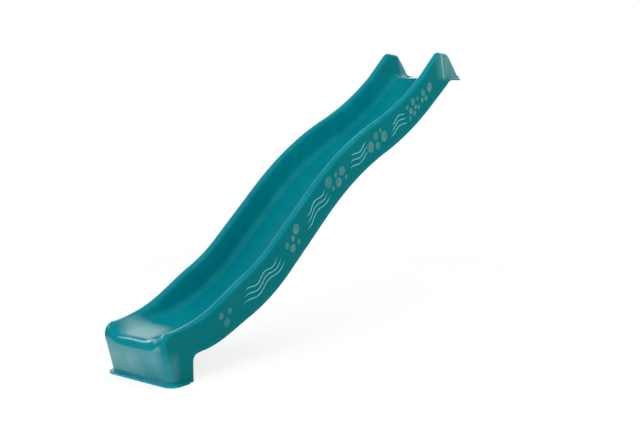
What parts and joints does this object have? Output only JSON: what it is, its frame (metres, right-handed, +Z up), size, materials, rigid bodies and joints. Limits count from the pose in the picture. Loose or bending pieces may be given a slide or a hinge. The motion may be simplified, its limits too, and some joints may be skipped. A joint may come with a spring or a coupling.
{
  "type": "playground slide",
  "caption": "Wave-shaped playground slide moulded in one piece, with raised side walls, ears beside the start, a box foot and a screw-down top flange.",
  "frame": {"origin": "on the ground under the middle of the bounding box, on the slide's centre plane", "axes": "+X from the foot towards the platform, +Y to the left of someone who looks up the slide from its foot, +Z up"},
  "size_m": [2.8365, 0.492, 1.6829],
  "materials": {
    "moulded_plastic": "glossy teal high-density polyethylene, faintly uneven from the mould",
    "cap_plastic": "satin teal plastic",
    "zinc_steel": "bright zinc plate"
  },
  "bodies": {
    "root": {"slide_shell": "moulded_plastic", "flange_screw_left": "zinc_steel", "flange_screw_right": "zinc_steel", "flange_washer_left": "zinc_steel", "flange_washer_right": "zinc_steel", "screw_cap_left": "cap_plastic", "screw_cap_right": "cap_plastic"}
  },
  "joints": []
}
